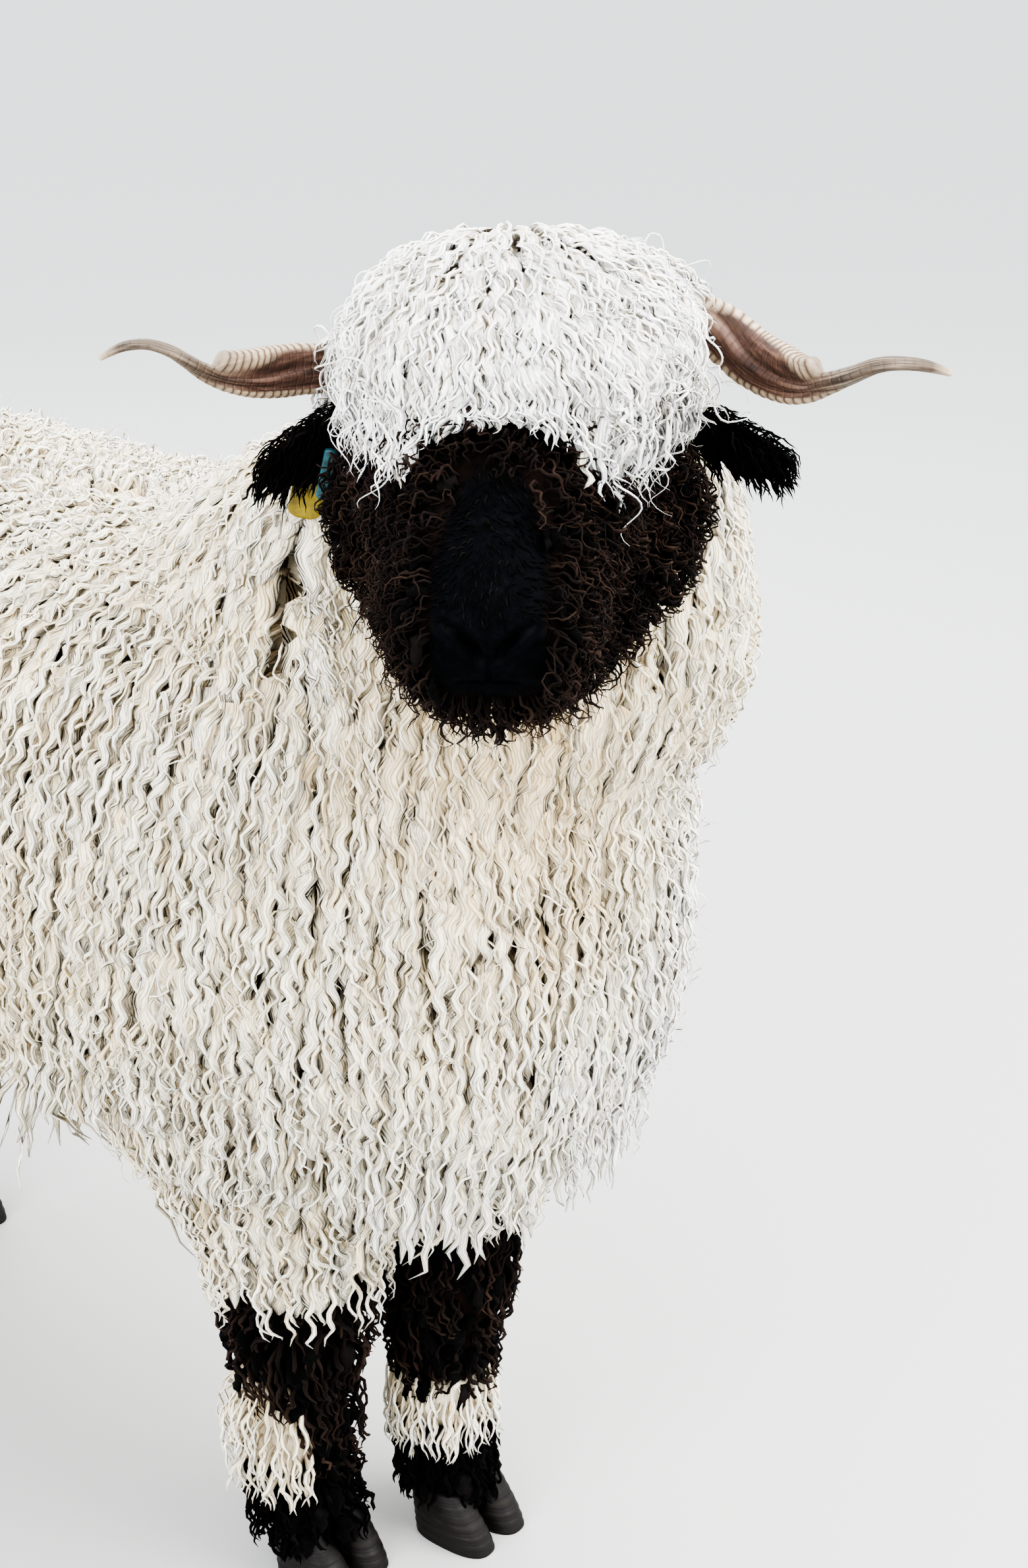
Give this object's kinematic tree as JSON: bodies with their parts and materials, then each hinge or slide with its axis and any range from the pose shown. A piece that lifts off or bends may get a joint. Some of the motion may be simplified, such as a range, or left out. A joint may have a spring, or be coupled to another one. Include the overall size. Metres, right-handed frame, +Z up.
{
  "type": "valais blacknose sheep model",
  "caption": "Still, life-size figure of a horned, long-woolled white sheep with black face, ears, knees, hocks and feet, standing square with its head turned, blank ear tags in one ear.",
  "frame": {"origin": "middle of the footprint of the whole animal's box, on the ground under the soles", "axes": "+Z up, the animal's spine along Y with its head towards -Y, its left side towards +X"},
  "size_m": [0.5518, 1.1868, 0.924],
  "materials": {
    "white_wool": "long crimped wool, cream white, matte",
    "black_hair": "curly brown-black wool and short black hair, matte",
    "horn": "ribbed horn, cream to grey-brown, satin",
    "hoof": "dark hoof horn, satin",
    "eye": "wet, glossy dark eye",
    "tag_yellow": "blank yellow plastic",
    "tag_teal": "blank blue-green plastic"
  },
  "bodies": {
    "root": {"torso": "white_wool", "neck": "white_wool", "tail": "white_wool", "forelock": "white_wool", "head": "black_hair", "ear_left": "black_hair", "ear_right": "black_hair", "eye_left": "eye", "eye_right": "eye", "horn_left": "horn", "horn_right": "horn", "ear_tag_yellow": "tag_yellow", "ear_tag_teal": "tag_teal", "foreleg_left_upper": "white_wool", "foreleg_left_knee": "black_hair", "foreleg_left_shank": "white_wool", "foreleg_left_foot": "black_hair", "foreleg_left_hoof": "hoof", "foreleg_right_upper": "white_wool", "foreleg_right_knee": "black_hair", "foreleg_right_shank": "white_wool", "foreleg_right_foot": "black_hair", "foreleg_right_hoof": "hoof", "hindleg_left_upper": "white_wool", "hindleg_left_hock": "black_hair", "hindleg_left_shank": "white_wool", "hindleg_left_foot": "black_hair", "hindleg_left_hoof": "hoof", "hindleg_right_upper": "white_wool", "hindleg_right_hock": "black_hair", "hindleg_right_shank": "white_wool", "hindleg_right_foot": "black_hair", "hindleg_right_hoof": "hoof"}
  },
  "joints": []
}
